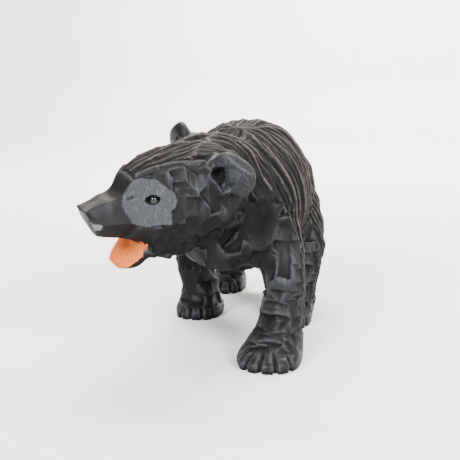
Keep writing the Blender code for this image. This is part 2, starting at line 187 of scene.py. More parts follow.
# The tips of the ears are cut square this far out
EAR_TIP = 13.2
# What belongs to an ear: from and to how far out, how far ahead or behind, and how far off its middle plane
EAR_EXTENT = (1, 16, 10.5, 5)

# How finely the block is worked
RING_POINTS = 48
RING_SPACING = 2
SMOOTHING_REACH = 2.3
SOLE_LEVEL = 0.5

# Flat cuts: the share of each, in percent, that the cut leaves alone, how far its middle may sink, and
# how deep it may go
FLAT_SHARE = 25
MOST_SINK = 1.2
MOST_CUT = 2.6
# The flat cuts that fill what is left: half length, half width and dig, and how their sizes vary
FILLING_CUT = (4.8, 4.0, 1.4)
FILLING_SIZES = (0.9, 1.3)

# How deep a cut may be where the work of another tool begins, and how fast it deepens from there
EDGE_CUT = 0.25
EDGE_RISE = 0.6

# How far each shingle of the cheeks turns ahead, the bottom of the valley behind them, and how far that
# reaches to either side and goes in
CHEEK_LAP = 0.16
NECK_VALLEY = ((22.4, -51, 65), (20.4, -54, 61), (18.6, -55.5, 57), (16.6, -56.5, 52.5), (14.4, -57, 47))
VALLEY_SIZE = (6.8, 4.2)

# Where the first strokes of the coat start across the brow
BROW_STROKES = (-8, -4.8, -1.6, 1.6, 4.8, 8)
# How far a new stroke starts from the middle of the last one, in half widths
STROKE_SPACING = 1.25
# How long the strokes of the brow and of the rest of the coat are, and how their widths vary
BROW_LENGTHS = (22, 44)
STROKE_LENGTHS = (18, 60)
STROKE_SIZES = (0.75, 1.2)
# A stroke's outline as a lens: its narrowest width as a share, and how full its ends are
STROKE_TIP = 0.35
STROKE_FULLNESS = 0.6

# Where the fur fans out from on the hump
HUMP = (2, -8, 97)

# Toes: the notches between them, in degrees from straight ahead, their half width and depth, their top and
# how they fade there, and where they start, are full and end, as shares of the foot
TOE_NOTCHES = (-52, -27, -4, 20, 46)
TOE_NOTCH = (1.3, 1.7)
TOE_HEIGHT = 8.5
TOE_FADE = 2.5
TOE_REACH = (0.45, 0.85, 1.4)

# The camera: where it stands and looks in metres, and its lens and sensor in millimetres
CAMERA_PLACE = (0.08195, -0.31837, 0.0960)
CAMERA_WAY = (-0.25598, 0.95532, -0.14781)
CAMERA_LENS = 700 / 460 * 36
CAMERA_SENSOR = 36


def linear(code):
    """An sRGB hex colour as linear red, green, blue and alpha."""
    parts = [int(code[i : i + 2], 16) / 255 for i in (1, 3, 5)]
    return (*(v / 12.92 if v <= 0.04045 else ((v + 0.055) / 1.055) ** 2.4 for v in parts), 1)


def head_axes():
    """Forward, left and up of the head as unit vectors."""
    turn, nod, lean = (math.radians(a) for a in (HEAD_TURN, HEAD_NOD, HEAD_LEAN))
    forward = Vector((-math.sin(turn) * math.cos(nod), -math.cos(turn) * math.cos(nod), -math.sin(nod)))
    level_left = Vector((math.cos(turn), -math.sin(turn), 0))
    level_up = forward.cross(level_left)
    left = level_left * math.cos(lean) - level_up * math.sin(lean)
    up = level_up * math.cos(lean) + level_left * math.sin(lean)
    return forward, left, up


FORWARD, LEFT, UP = head_axes()
HEAD = np.array((FORWARD, LEFT, UP))


def head_direction(forward, left, up):
    return FORWARD * forward + LEFT * left + UP * up


def in_head(forward, left, up):
    """A point of the head's own frame, as a point of the bear."""
    return Vector(HEAD_MIDDLE) + head_direction(forward, left, up)


def head_coordinates(points):
    """Points of the bear as forward, left and up of the head, in rows."""
    return (points - np.array(HEAD_MIDDLE)) @ HEAD.T


def unit(vector):
    vector = np.array(vector, float)
    return vector / np.linalg.norm(vector)


def smoothly(value, start, end):
    """0 before start, 1 after end, and a smooth rise between."""
    share = np.clip((value - start) / (end - start), 0, 1)
    return share * share * (3 - 2 * share)


def enclosed(x, y, corners):
    """Which points of a plane lie inside an outline."""
    found = np.zeros(len(x), bool)
    for (x0, y0), (x1, y1) in zip(corners, (*corners[1:], corners[0])):
        if y0 != y1:
            crosses = (y0 > y) != (y1 > y)
            found ^= crosses & (x < x0 + (y - y0) / (y1 - y0) * (x1 - x0))
    return found


def eased(stations, middles=3):
    """The stations with others between them, on a smooth curve through all of them."""
    rows = np.array(stations, float)
    padded = np.vstack([2 * rows[0] - rows[1], rows, 2 * rows[-1] - rows[-2]])
    found = []
    for a, b, c, d in zip(padded, padded[1:], padded[2:], padded[3:]):
        gap = np.linalg.norm((c - b)[:middles])
        steps = max(1, round(gap / RING_SPACING))
        for step in range(steps):
            t = step / steps
            curve = 2 * b + (c - a) * t + (2 * a - 5 * b + 4 * c - d) * t**2 + (3 * b - a - 3 * c + d) * t**3
            found.append(curve / 2)
    return [*found, rows[-1]]


def ring(middle, side, rise, half_width, half_height, squareness):
    """A closed oval of points. Squareness 2 is an ellipse, and more is boxier."""
    points = []
    for i in range(RING_POINTS):
        angle = 2 * math.pi * i / RING_POINTS
        across = math.copysign(abs(math.cos(angle)) ** (2 / squareness), math.cos(angle))
        height = math.copysign(abs(math.sin(angle)) ** (2 / squareness), math.sin(angle))
        points.append(middle + side * (half_width * across) + rise * (half_height * height))
    return points


def skin(bm, rings):
    """A closed tube through the rings."""
    loops = [[bm.verts.new(p) for p in points] for points in rings]
    for lower, upper in zip(loops, loops[1:]):
        for i in range(RING_POINTS):
            j = (i + 1) % RING_POINTS
            bm.faces.new((lower[i], lower[j], upper[j], upper[i]))
    bm.faces.new(loops[0][::-1])
    bm.faces.new(loops[-1])


def torso(bm):
    x, z = Vector((1, 0, 0)), Vector((0, 0, 1))
    skin(bm, [ring(Vector((s[1], s[0], s[2])), x, z, *s[3:]) for s in eased(TORSO)])


def neck(bm):
    stations = eased(NECK)
    points = [Vector(s[:3]) for s in stations]
    rings = []
    for i, station in enumerate(stations):
        along = (points[min(i + 1, len(points) - 1)] - points[max(i - 1, 0)]).normalized()
        side = along.cross(Vector((0, 0, 1))).normalized()
        rings.append(ring(points[i], side, side.cross(along), *station[3:]))
    skin(bm, rings)


def leg(bm, stations):
    x, y = Vector((1, 0, 0)), Vector((0, 1, 0))
    skin(bm, [ring(Vector(s[:3]), x, y, *s[3:]) for s in eased(stations)])


def along_head(bm, stations):
    skin(bm, [ring(in_head(*s[:3]), LEFT, UP, *s[3:]) for s in eased(stations)])


def eye_flat_out(side):
    """The outward direction of the flat round one eye."""
    forward, left, up = EYE_PLANE[1]
    return head_direction(forward, side * left, up)


def ear_axes(side):
    """Out along the ear, out of its open face, and across it."""
    out = head_direction(0, side * 0.62, 0.78).normalized()
    face = head_direction(*(LEFT_EAR_FACE if side > 0 else RIGHT_EAR_FACE), 0)
    face = (face - out * face.dot(out)).normalized()
    return out, face, out.cross(face)


def ear_root(side):
    drop = LEFT_EAR_DROP if side > 0 else 0
    return in_head(EAR_ROOT[0], side * EAR_ROOT[1], EAR_ROOT[2] - drop)


def ears(bm):
    for side in (1, -1):
        out, face, across = ear_axes(side)
        root = ear_root(side)
        for_ear = eased(EAR, 1)
        skin(bm, [ring(root + out * rise, across, face, wide, thick, 2.2) for rise, wide, thick in for_ear])


def settle(obj):
    """Applies the object's modifiers to its mesh."""
    graph = bpy.context.evaluated_depsgraph_get()
    mesh = bpy.data.meshes.new_from_object(obj.evaluated_get(graph))
    obj.modifiers.clear()
    old = obj.data
    obj.data = mesh
    bpy.data.meshes.remove(old)


def new_object(name, bm):
    """An object in the scene with the mesh that was built."""
    mesh = bpy.data.meshes.new(name)
    bm.to_mesh(mesh)
    bm.free()
    obj = bpy.data.objects.new(name, mesh)
    bpy.context.scene.collection.objects.link(obj)
    return obj


def rough_form(name, voxel):
    """The block sawn and rasped to the bear's form, before the gouge work."""
    bm = bmesh.new()
    torso(bm)
    neck(bm)
    for stations in LEGS:
        leg(bm, stations)
    along_head(bm, SKULL)
    along_head(bm, JAW)
    ears(bm)
    bmesh.ops.recalc_face_normals(bm, faces=bm.faces)
    obj = new_object(name, bm)
    fuse = obj.modifiers.new("fuse", "REMESH")
    fuse.mode = "VOXEL"
    fuse.voxel_size = voxel
    blend = obj.modifiers.new("blend", "SMOOTH")
    blend.factor = 0.5
    blend.iterations = round((SMOOTHING_REACH / voxel) ** 2)
    settle(obj)
    return obj


def surface(mesh):
    """The points and outward directions of a mesh, as rows."""
    points, normals = np.empty(len(mesh.vertices) * 3), np.empty(len(mesh.vertices) * 3)
    mesh.vertices.foreach_get("co", points)
    mesh.vertex_normals.foreach_get("vector", normals)
    return points.reshape(-1, 3), normals.reshape(-1, 3)


def put_back(mesh, points):
    mesh.vertices.foreach_set("co", points.ravel())
    mesh.update()


def plane_in_bear(plane, side):
    """A knife plane's middle and outward direction, on one side of the head, in the bear's frame."""
    middle, direction = plane[:2]
    out = head_direction(direction[0], side * direction[1], direction[2])
    return np.array(in_head(middle[0], side * middle[1], middle[2])), unit(out)


def knife_planes(points, normals):
    """Flattens what stands proud of each knife plane."""
    for plane in KNIFE_PLANES:
        _, direction, reach, deepest = plane
        for side in (1, -1) if direction[1] else (1,):
            at, out = plane_in_bear(plane, side)
            offset = points - at
            proud = offset @ out
            fade = np.clip((reach - np.linalg.norm(offset, axis=1)) / KNIFE_FADE, 0, 1)
            takes = (proud > 0) & (proud < deepest) & (normals @ out > 0)
            if plane in HOLLOW_PAIR:
                beside, beside_out = plane_in_bear(HOLLOW_PAIR[plane is EYE_PLANE], side)
                takes &= proud <= (points - beside) @ beside_out + 0.02
            points -= np.where(takes, proud * fade, 0)[:, None] * out


def sweep_brow(mesh):
    """Rubs the corner between the bridge of the nose and the brow to one hollow sweep."""
    points, _ = surface(mesh)
    local = head_coordinates(points)
    reach = np.linalg.norm((local - np.array(SWEEP_MIDDLE)) / np.array(SWEEP_SIZE), axis=1)
    share = (SWEEP_SHARE * (1 - smoothly(reach, 0.6, 1)))[:, None]
    for _ in range(SWEEP_STROKES):
        points = points * (1 - share) + neighbour_mean(mesh, points) * share
    put_back(mesh, points)


class Surface:
    """The rough form's surface, what each tool may work of it, and how deep the tools cut at each point."""

    def __init__(self, mesh):
        self.points, self.normals = surface(mesh)
        self.tree = KDTree(len(self.points))
        for i, point in enumerate(self.points):
            self.tree.insert(point, i)
        self.tree.balance()
        count = len(self.points)
        # Besides the depths, each point keeps how much shade and how much light is painted on it
        self.depth, self.tile_depth, self.dark, self.pale = np.zeros((4, count))
        self.worked, self.taken, self.chip = np.zeros((3, count), bool)
        self.tile = np.full(count, np.inf)
        self.coat = coat_places(self.points, self.normals)
        self.bare = bare_places(self.points, self.normals)

    def near(self, place, reach):
        return np.array([i for _, i, _ in self.tree.find_range(place, reach)], int)

    def at(self, place):
        """The surface point nearest to a place, and its outward direction."""
        _, i, _ = self.tree.find(place)
        return self.points[i], self.normals[i]

    def evenly(self, place, reach=2.5):
        """The same, with the direction evened out over a small patch."""
        point, _ = self.at(place)
        found = self.near(point, reach)
        return point, unit(self.normals[found].mean(axis=0))

    def cut(self, found, depth):
        self.depth[found] = np.maximum(self.depth[found], depth)

    def darken(self, found, shade):
        self.dark[found] = np.maximum(self.dark[found], shade)

    def facet(self, place, up, half_length, half_width, dig, turned=None):
        """A flat cut, dug in at its upper end as a shingle lies. Where two meet, the deeper one wins."""
        centre, out = self.evenly(place)
        if turned is not None:
            out = unit(out + turned)
        up = np.array(up, float)
        up = unit(up - out * np.dot(up, out))
        across = np.cross(out, up)
        tilt = math.atan2(dig, 2 * half_length)
        plane = out * math.cos(tilt) + up * math.sin(tilt)
        found = self.near(centre, math.hypot(half_length, half_width) * 1.4)
        found = found[~self.bare[found] & (self.normals[found] @ out > 0.25)]
        offset = self.points[found] - centre
        run = offset @ up / half_length
        drift = abs(offset @ across) / half_width
        # A knife leaves a flat very slightly hollow
        height = offset @ plane + 0.1 * dig * (1 - np.clip(drift, 0, 1) ** 2)
        inner = (abs(run) < 1) & (drift < 1)
        if not inner.any():
            return
        sink = np.clip(-np.percentile(height[inner], FLAT_SHARE), 0, MOST_SINK)
        slope = np.clip(self.normals[found] @ plane, 0.4, 1)
        # It starts over 0.5 mm at its upper end, and runs on a little past its sides and its lower end
        reach = np.clip((1 - run) * half_length / 0.5, 0, 1)
        reach *= np.clip((1.3 - drift) / 0.2, 0, 1) * (run > -1.4)
        deep = np.clip((height + sink) / slope, 0, MOST_CUT) * reach
        self.tile_depth[found] = np.maximum(self.tile_depth[found], deep)
        self.tile[found] = np.minimum(self.tile[found], np.maximum(abs(run), drift))

    def trace(self, place, length, turn):
        """Points, ways and outward directions along the coat from a place, as rows 1 mm apart."""
        point, normal = self.at(place)
        rows = []
        for _ in range(max(2, round(length))):
            way = coat_flow(point, normal)
            way = way - normal * (way @ normal)
            size = np.linalg.norm(way)
            if size < 0.2:
                break
            way = way / size
            way = unit(way * math.cos(turn) + np.cross(normal, way) * math.sin(turn))
            rows.append((point, way, normal))
            turn *= 0.97
            _, i, _ = self.tree.find(point + way)
            if not self.coat[i]:
                break
            point, normal = self.points[i], self.normals[i]
        return rows

    def groove(self, rows, half_width, deepest, sharp=1.6, entering=0.5, leaving=0.5, step=1.0):
        """A groove along traced rows, as a lens: it narrows and comes up towards both ends."""
        count = len(rows)
        for k, (point, way, normal) in enumerate(rows):
            share = (k + 0.5) / count
            lens = min(1, share / entering, (1 - share) / leaving) ** STROKE_FULLNESS
            wide = half_width * (STROKE_TIP + (1 - STROKE_TIP) * lens)
            found = self.near(point, wide * 1.3 + step)
            offset = self.points[found] - point
            run = offset @ way
            drift = abs(offset @ np.cross(normal, way)) / wide
            reached = (abs(run) < step * 0.9) & (self.normals[found] @ normal > 0.1)
            depth = deepest * lens * (1 - np.clip(drift, 0, 1) ** sharp)
            self.cut(found, np.where(reached & (drift < 1), depth, 0))
            if 0.06 < share < 0.94:
                self.worked[found[reached & (drift < STROKE_SPACING)]] = True


def fan(point, normal):
    """The way the coat lies on the body: back along the spine, and down the sides from it."""
    away = point - np.array(HUMP)
    reach = np.linalg.norm(away)
    radial = away / max(reach, 1) * 0.5 * smoothly(reach, 8, 25) * (1 - 0.6 * smoothly(reach, 25, 55))
    steep = math.sqrt(max(0, 1 - normal[2] ** 2))
    at_neck = 1 - smoothly(point[1], -48, -22)
    down = np.array((0, 0, -1.1)) * steep * (0.6 + smoothly(95 - point[2], 0, 45) + 1.2 * at_neck)
    aside = np.array((math.copysign(0.8, point[0] + 2), 0, 0)) * at_neck * steep
    back = np.array((0, 1.0, 0)) * (0.45 * (1 - 0.7 * steep) + 0.8 * smoothly(point[1], 0, 60))
    return radial + down + aside + back


def coat_flow(point, normal):
    """Along the coat anywhere: back over the head and the nape, and as the fan says on the body."""
    ahead, aside, _ = head_coordinates(point)
    body = fan(point, normal)
    back = -np.array(FORWARD)
    outer = smoothly(abs(aside), 7, 16)
    head_share = smoothly(ahead, -30 + 18 * outer, -16 + 14 * outer) if point[2] > 45 else 0
    nape_share = (1 - smoothly(point[1], -46, -20)) * smoothly(normal[2], 0.8, 0.97)
    share = max(head_share, nape_share)
    if body @ back < 0:
        back = -back
    return unit(body) * (1 - share) + back * share


def on_head(points, local):
    """Which points are the head's, given also in its own frame."""
    return (local[:, 0] > -22) & (points[:, 2] > 36) & (points[:, 1] < -30)


def coat_places(points, normals):
    """Where the long gouge strokes of the coat go."""
    local, turned = head_coordinates(points), normals @ HEAD.T
    head = on_head(points, local)
    crown = (abs(local[:, 1]) < np.interp(local[:, 0], *CROWN_EDGE)) & (turned[:, 2] > 0)
    crown &= (local[:, 0] < BROW) & (local[:, 2] > 4)
    crown |= (local[:, 0] < -9) & (local[:, 2] > 18.2 + 0.89 * local[:, 0])
    y, z = points[:, 1], points[:, 2]
    outwards = normals[:, 0] * np.sign(points[:, 0])
    belly = (normals[:, 2] < -0.45) & (y > -36)
    behind_ear = (local[:, 0] < -22) & (z > 58)
    front = (z < 64) & (normals[:, 1] < -0.4) & (outwards < 0.8)
    chest = (y < -42) & (outwards < np.where(z < 63, 0.94, 0.72)) & (z < 80)
    chest |= (y < -40) & (z > 34) & (z < 64) & (abs(points[:, 0]) < 24)
    leg_inside = (z < 40) & (outwards < 0.5) & (normals[:, 1] < 0.25)
    body = belly | (~front & ~(chest & ~behind_ear) & ~leg_inside)
    return np.where(head, crown, body) & (z > 11)


def mouth_places(points, normals):
    """The flat inner face of the lower jaw, narrowing towards the throat."""
    local = head_coordinates(points)
    out = unit(MOUTH_PLANE[1])
    level = (local - np.array(MOUTH_PLANE[0])) @ out
    aside = abs(local[:, 1])
    within = (local[:, 0] > 12 + 1.9 * np.clip(aside - 3.5, 0, None)) & (aside < 10.5) & (local[:, 2] < -8)
    return within & (level > -0.9) & (level < 4) & (normals @ HEAD.T @ out > 0.05)


def on_eye_flat(local):
    """How far each point stands proud of its own side's eye flat, and whether it is in its outline."""
    out = unit(EYE_PLANE[1])
    mirrored = np.stack([local[:, 0], abs(local[:, 1]), local[:, 2]], axis=1)
    return mirrored @ out - out @ np.array(EYE_PLANE[0]), enclosed(local[:, 0], local[:, 2], EYE_FLAT)


def bare_places(points, normals):
    """Where the knife alone works: the muzzle, the mouth, the flats round the eyes and the feet."""
    local = head_coordinates(points)
    head = on_head(points, local)
    proud, within = on_eye_flat(local)
    flat = (proud > -0.5) & within
    muzzle = (local[:, 0] > MUZZLE_FROM) | ((local[:, 0] > 19) & (local[:, 2] < -5))
    return head & (flat | muzzle) | mouth_places(points, normals) | (points[:, 2] < 6)


def gouge_coat(work, chance, settings):
    """Covers the coat with long overlapping gouge strokes. The first ones start sharply at the brow."""
    half_width, deepest = (v / MILLIMETRE for v in (settings.lock_width / 2, settings.lock_depth))
    for aside in BROW_STROKES:
        start, _ = work.at(in_head(BROW - 0.4, aside, 13 - 0.02 * aside**2))
        rows = work.trace(start, chance.uniform(*BROW_LENGTHS), chance.normal(0, 0.04))
        if rows:
            work.groove(rows, half_width * 0.9, deepest * 0.8, entering=0.14)
    for i in chance.permutation(len(work.points)):
        if work.worked[i] or not work.coat[i]:
            continue
        work.worked[i] = True
        rows = work.trace(work.points[i], chance.uniform(*STROKE_LENGTHS), chance.normal(0, 0.09))
        if not rows:
            continue
        size = chance.uniform(*STROKE_SIZES)
        work.groove(rows, half_width * size, deepest * size)


def cheek_rows():
    """The flat cuts of a cheek: upper and lower end in the head's frame, half width and dig."""
    return (
        # the broad planes over the eye and below the crown
        ((23.0, 7.0, 12.8), (13.5, 10.0, 15.6), 2.4, 0.7),
        ((14.0, 13.0, 11.6), (2.5, 14.5, 14.2), 3.2, 0.9),
        ((4.0, 15.0, 13.8), (-4.0, 15.8, 12.6), 3.8, 0.9),
        ((14.5, 14.8, 8.8), (3.0, 18.2, 10.0), 2.1, 0.8),
        # the upper row, behind the eye
        ((12.6, 16.2, 7.0), (10.2, 18.3, 0.2), 2.2, 1.0),
        ((8.4, 17.9, 9.0), (4.6, 19.6, 0.8), 2.5, 1.2),
        ((3.0, 18.2, 9.6), (-8.2, 18.2, -4.0), 2.9, 1.5),
        ((-3.0, 18.8, 8.6), (-15.2, 15.6, -4.6), 2.9, 1.5),
        ((-8.4, 19.8, 7.4), (-23.4, 11.4, -7.2), 3.0, 1.5),
        # the middle row
        ((13.0, 17.0, 0.2), (12.6, 16.8, -6.0), 2.8, 1.6),
        ((7.2, 19.0, -1.0), (6.0, 17.6, -8.0), 3.1, 1.8),
        ((-0.4, 19.0, -2.2), (-4.8, 17.0, -10.6), 4.2, 1.8),
        ((-10.6, 16.8, -5.2), (-13.0, 14.2, -12.2), 3.4, 1.8),
        ((-18.0, 12.4, -7.8), (-19.6, 10.0, -15.0), 3.6, 1.8),
        # the lower row, under the jaw
        ((16.4, 11.6, -8.6), (15.4, 9.0, -17.2), 2.7, 1.4),
        ((10.6, 12.8, -9.6), (10.2, 9.2, -18.6), 2.6, 1.5),
        ((5.0, 14.0, -10.8), (4.6, 9.4, -19.6), 2.7, 1.6),
        ((-0.8, 14.0, -12.0), (-1.4, 8.6, -20.4), 2.9, 1.6),
        ((-7.2, 13.0, -13.0), (-7.8, 7.0, -21.4), 3.0, 1.6),
        ((-13.6, 11.6, -13.8), (-13.2, 6.4, -21.0), 3.0, 1.6),
        # the throat
        ((12.5, 8.0, -19.5), (12.5, 1.0, -22.5), 3.2, 1.1),
        ((5.5, 8.0, -20.5), (5.5, 1.0, -24.5), 3.4, 1.1),
        ((-1.8, 8.0, -21.5), (-1.8, 1.0, -25.0), 3.6, 1.1),
    )


def mirrored_in_head(place, side):
    return np.array(in_head(place[0], side * place[1], place[2]))


def carve_cheeks(work, chance):
    """The shingles of the cheeks. Each turns a little ahead, so that it laps over the next one behind it."""
    for side in (1, -1):
        for upper, lower, half_width, dig in cheek_rows():
            upper, lower = (mirrored_in_head(place, side) for place in (upper, lower))
            half_length = np.linalg.norm(upper - lower) / 2
            lean = np.array(FORWARD) * CHEEK_LAP + chance.normal(0, 0.04, 3)
            work.facet((upper + lower) / 2, upper - lower, half_length, half_width, dig, turned=lean)


def carve_legs(work):
    """The flat cuts of the shoulder and of the fronts of both forelegs."""
    for place, up, half_length, half_width, dig in (
        # the long smooth plane of the left shoulder, and the two below it
        ((25.2, -49.0, 53.0), (0.3, 0.25, 1), 13, 6.4, 1.2),
        ((31.0, -46.8, 47.0), (0.3, 0.1, 1), 5.0, 3.2, 1.2),
        ((19.5, -51.0, 40.5), (0.2, 0, 1), 4.6, 4.4, 1.2),
        ((26.5, -50.8, 39.6), (0.5, 0, 1), 3.0, 4.6, 1.2),
        # down the left foreleg
        ((31.0, -50.6, 35.0), (0.1, 0, 1), 4.8, 4.4, 1.5),
        ((24.6, -52.4, 32.8), (0.1, 0, 1), 4.8, 2.6, 1.3),
        ((20.0, -50.8, 31.5), (0, 0, 1), 6.0, 3.0, 1.0),
        ((26.0, -54.0, 25.2), (0.1, 0, 1), 3.6, 3.4, 1.6),
        ((32.4, -53.2, 24.6), (0.1, 0, 1), 4.4, 3.4, 1.5),
        ((28.2, -55.6, 20.2), (0.1, 0, 1), 3.0, 3.6, 1.4),
        ((20.6, -54.6, 21.0), (0, 0, 1), 6.0, 3.0, 1.0),
        ((27.6, -57.6, 15.4), (0.1, -0.2, 1), 3.4, 4.8, 1.6),
        ((34.0, -55.4, 14.6), (0.1, 0, 1), 3.8, 3.2, 1.4),
        # the right foreleg: two short cuts over a ledge, and the long hollow below it
        ((-31.5, -8.2, 33.5), (0, 0, 1), 3.2, 3.4, 1.8),
        ((-25.0, -10.0, 33.0), (0, 0, 1), 3.4, 3.4, 1.8),
        ((-28.5, -4.6, 20.5), (0, 0, 1), 8.8, 6.6, 2.2),
    ):
        work.facet(place, up, half_length, half_width, dig)


def carve_valley(work):
    """The deep cut between the neck and the left shoulder, and its fellow on the right, both darkened by
    painted shadow.
    """
    for places in (NECK_VALLEY, [(-x - 4, y + 10, z) for x, y, z in NECK_VALLEY]):
        line = np.array(places, float)
        away, along = np.full(len(work.points), np.inf), np.zeros(len(work.points))
        for k, (start, end) in enumerate(zip(line, line[1:])):
            run = np.clip((work.points - start) @ (end - start) / ((end - start) @ (end - start)), 0, 1)
            gap = np.linalg.norm(work.points - start - run[:, None] * (end - start), axis=1)
            along = np.where(gap < away, (k + run) / (len(line) - 1), along)
            away = np.minimum(away, gap)
        taper = smoothly(np.minimum(along, 1 - along), -0.15, 0.3)
        reach, deepest = VALLEY_SIZE
        share = np.clip(1 - (away / reach) ** 1.4, 0, 1) * taper * ~work.taken
        work.cut(slice(None), deepest * share)
        # painted shadow in and beside the valley
        work.darken(slice(None), (1 - smoothly(away, 5.5, 10)) * taper * ~work.taken)


def carve_rest(work, chance):
    """Flat cuts about 9 mm across wherever neither coat nor knife has the place."""
    for i in chance.permutation(len(work.points)):
        if work.coat[i] or work.bare[i] or work.tile[i] < 1.05:
            continue
        point = work.points[i]
        size = chance.uniform(*FILLING_SIZES) * (1.25 if point[2] > 36 else 1)
        lean = chance.normal(0, 0.1, 3)
        up = (0, 0, 1) if abs(work.normals[i][2]) < 0.85 else (0, 1, 0)
        work.facet(point, up, *(part * size for part in FILLING_CUT), turned=lean)
        work.tile[i] = min(work.tile[i], 1)


def eased_to(work, depth, others):
    """The depth of one kind of cut, less and less towards the points where others work, and none there."""
    border = KDTree(int(others.sum()))
    for i in np.flatnonzero(others):
        border.insert(work.points[i], i)
    border.balance()
    depth = np.where(others, 0, depth)
    for i in np.flatnonzero(depth > EDGE_CUT):
        depth[i] = min(depth[i], EDGE_CUT + EDGE_RISE * border.find(work.points[i])[2])
    return depth


def carve_face(work):
    """The sockets and tear grooves of the eyes, with painted shade in the sockets, and the shallow chip cut
    on the lip, painted light grey as a highlight.
    """
    half_length, half_height, deepest = SOCKET
    for side in (1, -1):
        out = unit(eye_flat_out(side))
        centre, _ = work.at(in_head(EYE[0] + 0.4, side * EYE[1], EYE[2]))
        along = np.array(head_direction(0.97, 0, -0.05))
        along = unit(along - out * (along @ out))
        across = np.cross(out, along)
        found = work.near(centre, 5.5)
        offset = work.points[found] - centre
        run, drift = offset @ along / half_length, offset @ across / half_height
        lens = 1 - run**2 - abs(drift) ** 1.6
        work.cut(found, np.clip(lens * 2.4, 0, 1) * deepest)
        # painted shade in the socket round the bead
        work.darken(found, np.clip(lens * 4 + 0.3, 0, 1))
        tear = [in_head(ahead, side * aside, rise) for ahead, aside, rise in TEAR_GROOVE]
        line_groove(work, tear, 0.8, 0.7)
    local = head_coordinates(work.points)
    work.chip = enclosed(local[:, 0], local[:, 2], LIP_CHIP) & (local[:, 1] > 3)
    work.cut(work.chip, CHIP_DEPTH)


def line_groove(work, places, half_width, deepest, entering=0.3, leaving=0.3, step=0.6):
    """A groove over the surface along a line of places."""
    rows = []
    for start, end in zip(places, places[1:]):
        start, end = np.array(start), np.array(end)
        count = max(1, round(np.linalg.norm(end - start) / step))
        for k in range(count):
            point, normal = work.at(start + (end - start) * (k / count))
            way = unit(end - start)
            way = unit(way - normal * (way @ normal))
            rows.append((point, way, normal))
    work.groove(rows, half_width, deepest, 1, entering, leaving, step)


def ear_directions(side):
    """Out along an ear, ahead across it, and out of its open face."""
    out, face, across = (np.array(v) for v in ear_axes(side))
    return out, across if across @ np.array(FORWARD) > 0 else -across, face


def ear_places(points, side):
    """Points as seen from an ear, along its three directions, and which of them belong to it."""
    offset = points - np.array(ear_root(side))
    rise, ahead, proud = (offset @ way for way in ear_directions(side))
    lowest, highest, widest, thickest = EAR_EXTENT
    ear = (rise > lowest) & (rise < highest) & (abs(ahead) < widest) & (abs(proud) < thickest)
    return rise, ahead, proud, ear


def take_ears(work):
    """Keeps the coat and the flat cuts off the ears."""
    for side in (1, -1):
        *_, face = ear_directions(side)
        rise, ahead, proud, ear = ear_places(work.points, side)
        ear &= (work.normals @ face > 0.1) | (rise > 4)
        ear |= enclosed(ahead, rise, EAR_SCOOP) & (proud > -1.5) & (proud < 6)
        work.taken |= ear
        work.coat &= ~ear


def carve_ears(work):
    """The scooped open face of each ear, with the slit at its front, and the second line round its rim, with
    painted shadow in the slit and painted light on the open face, brighter away from the slit.
    """
    for side, share in ((1, 1), (-1, 0.2)):
        out, before, face = ear_directions(side)
        rise, ahead, proud, ear = ear_places(work.points, side)
        facing = (work.normals @ face > 0.1) & (proud > -1.5) & (proud < 6)
        scoop = np.flatnonzero(enclosed(ahead, rise, EAR_SCOOP) & facing)
        (a0, r0), (a1, r1) = EAR_SCOOP[0], EAR_SCOOP[-1]
        across_slit = np.array((r0 - r1, a1 - a0)) / math.hypot(a0 - a1, r0 - r1)
        behind = abs((ahead[scoop] - a0) * across_slit[0] + (rise[scoop] - r0) * across_slit[1])
        slit = behind < np.interp(rise[scoop], *SLIT_WIDTH)
        floor = np.interp(behind, (0, 8.5), (EAR_DEEPEST, 0.2)) + np.where(slit, SLIT_DEEPER, 0)
        work.cut(scoop, floor * share)
        # painted shadow in the slit
        work.darken(scoop, slit)
        # painted light on the open face of the ear, and in the scoop rising away from the slit; the right
        # ear gets a fifth of the cut and of the light
        work.pale[ear & (work.normals @ face > 0.3)] = 0.4 * share
        work.pale[scoop] = np.where(slit, 0, np.interp(behind, (2, 8), (0.3, 1))) * share
        tip = np.flatnonzero(ear & (rise > EAR_TIP))
        work.cut(tip, (rise[tip] - EAR_TIP) / np.clip(work.normals[tip] @ out, 0.4, 1))
        root = np.array(ear_root(side))
        around = [(0.5, 9.2), (5, 9.5), (9.5, 8.9), (12.4, 7.2), (14.2, 4.6)]
        rim = [root + out * r - before * w - face * 0.9 for r, w in around]
        line_groove(work, rim, 0.8, 1.2, 0.1, 0.25)


def toe_cuts(work):
    """The cuts between the toes."""
    half_width, deepest = TOE_NOTCH
    starts, full, ends = TOE_REACH
    points = work.points
    for stations in LEGS:
        x, y, _, wide, long, _ = stations[-1]
        offset = points - (x, y, 0)
        reach = np.hypot(offset[:, 0] / wide, offset[:, 1] / long)
        for angle in TOE_NOTCHES:
            turn = math.radians(angle)
            ahead = offset[:, 0] * math.sin(turn) - offset[:, 1] * math.cos(turn)
            aside = abs(offset[:, 0] * math.cos(turn) + offset[:, 1] * math.sin(turn))
            low = np.clip((TOE_HEIGHT - points[:, 2]) / TOE_FADE, 0, 1)
            at_edge = smoothly(reach, starts, full) * (ahead > 0) * (reach < ends)
            work.cut(slice(None), deepest * np.clip(1 - aside / half_width, 0, 1) * low * at_edge)


def level_soles(mesh):
    """Sets the soles of the feet flat on the ground."""
    points, _ = surface(mesh)
    points[:, 2] = np.where(points[:, 2] < SOLE_LEVEL, 0, points[:, 2])
    put_back(mesh, points)


def neighbour_mean(mesh, values):
    """The mean of each point's neighbours, in rows as the values are."""
    ends = np.empty(len(mesh.edges) * 2, np.int64)
    mesh.edges.foreach_get("vertices", ends)
    a, b = ends.reshape(-1, 2).T
    total = np.zeros_like(values)
    np.add.at(total, a, values[b])
    np.add.at(total, b, values[a])
    count = np.bincount(ends, minlength=len(values)).astype(float)
    count[count == 0] = 1
    return total / (count[:, None] if values.ndim > 1 else count)


